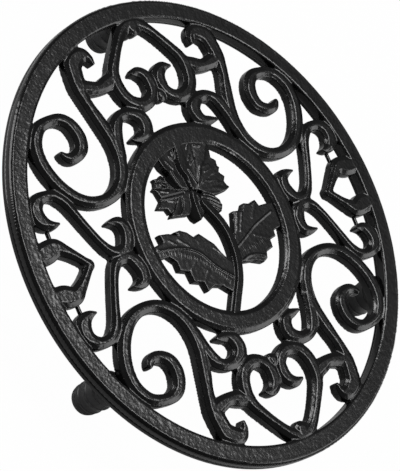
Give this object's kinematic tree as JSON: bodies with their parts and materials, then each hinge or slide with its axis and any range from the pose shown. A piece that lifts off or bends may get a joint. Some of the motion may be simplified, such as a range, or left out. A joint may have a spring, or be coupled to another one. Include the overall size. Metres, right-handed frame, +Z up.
{
  "type": "trivet",
  "caption": "Round openwork cast iron trivet: scrollwork around a flower medallion, on short legs with rubber foot caps.",
  "frame": {"origin": "centre of the footprint, on the table under the feet", "axes": "+Z up through the pot rest; +Y towards the top of the flower, over the first leg; +X to the right of the upright flower"},
  "size_m": [0.19, 0.19, 0.023],
  "materials": {
    "iron": "satin black coat over a fine pebbled cast surface",
    "rubber": "smooth, slightly shiny moulded black rubber"
  },
  "bodies": {
    "root": {"iron_trivet": "iron", "foot_cap_1": "rubber", "foot_cap_2": "rubber", "foot_cap_3": "rubber"}
  },
  "joints": []
}
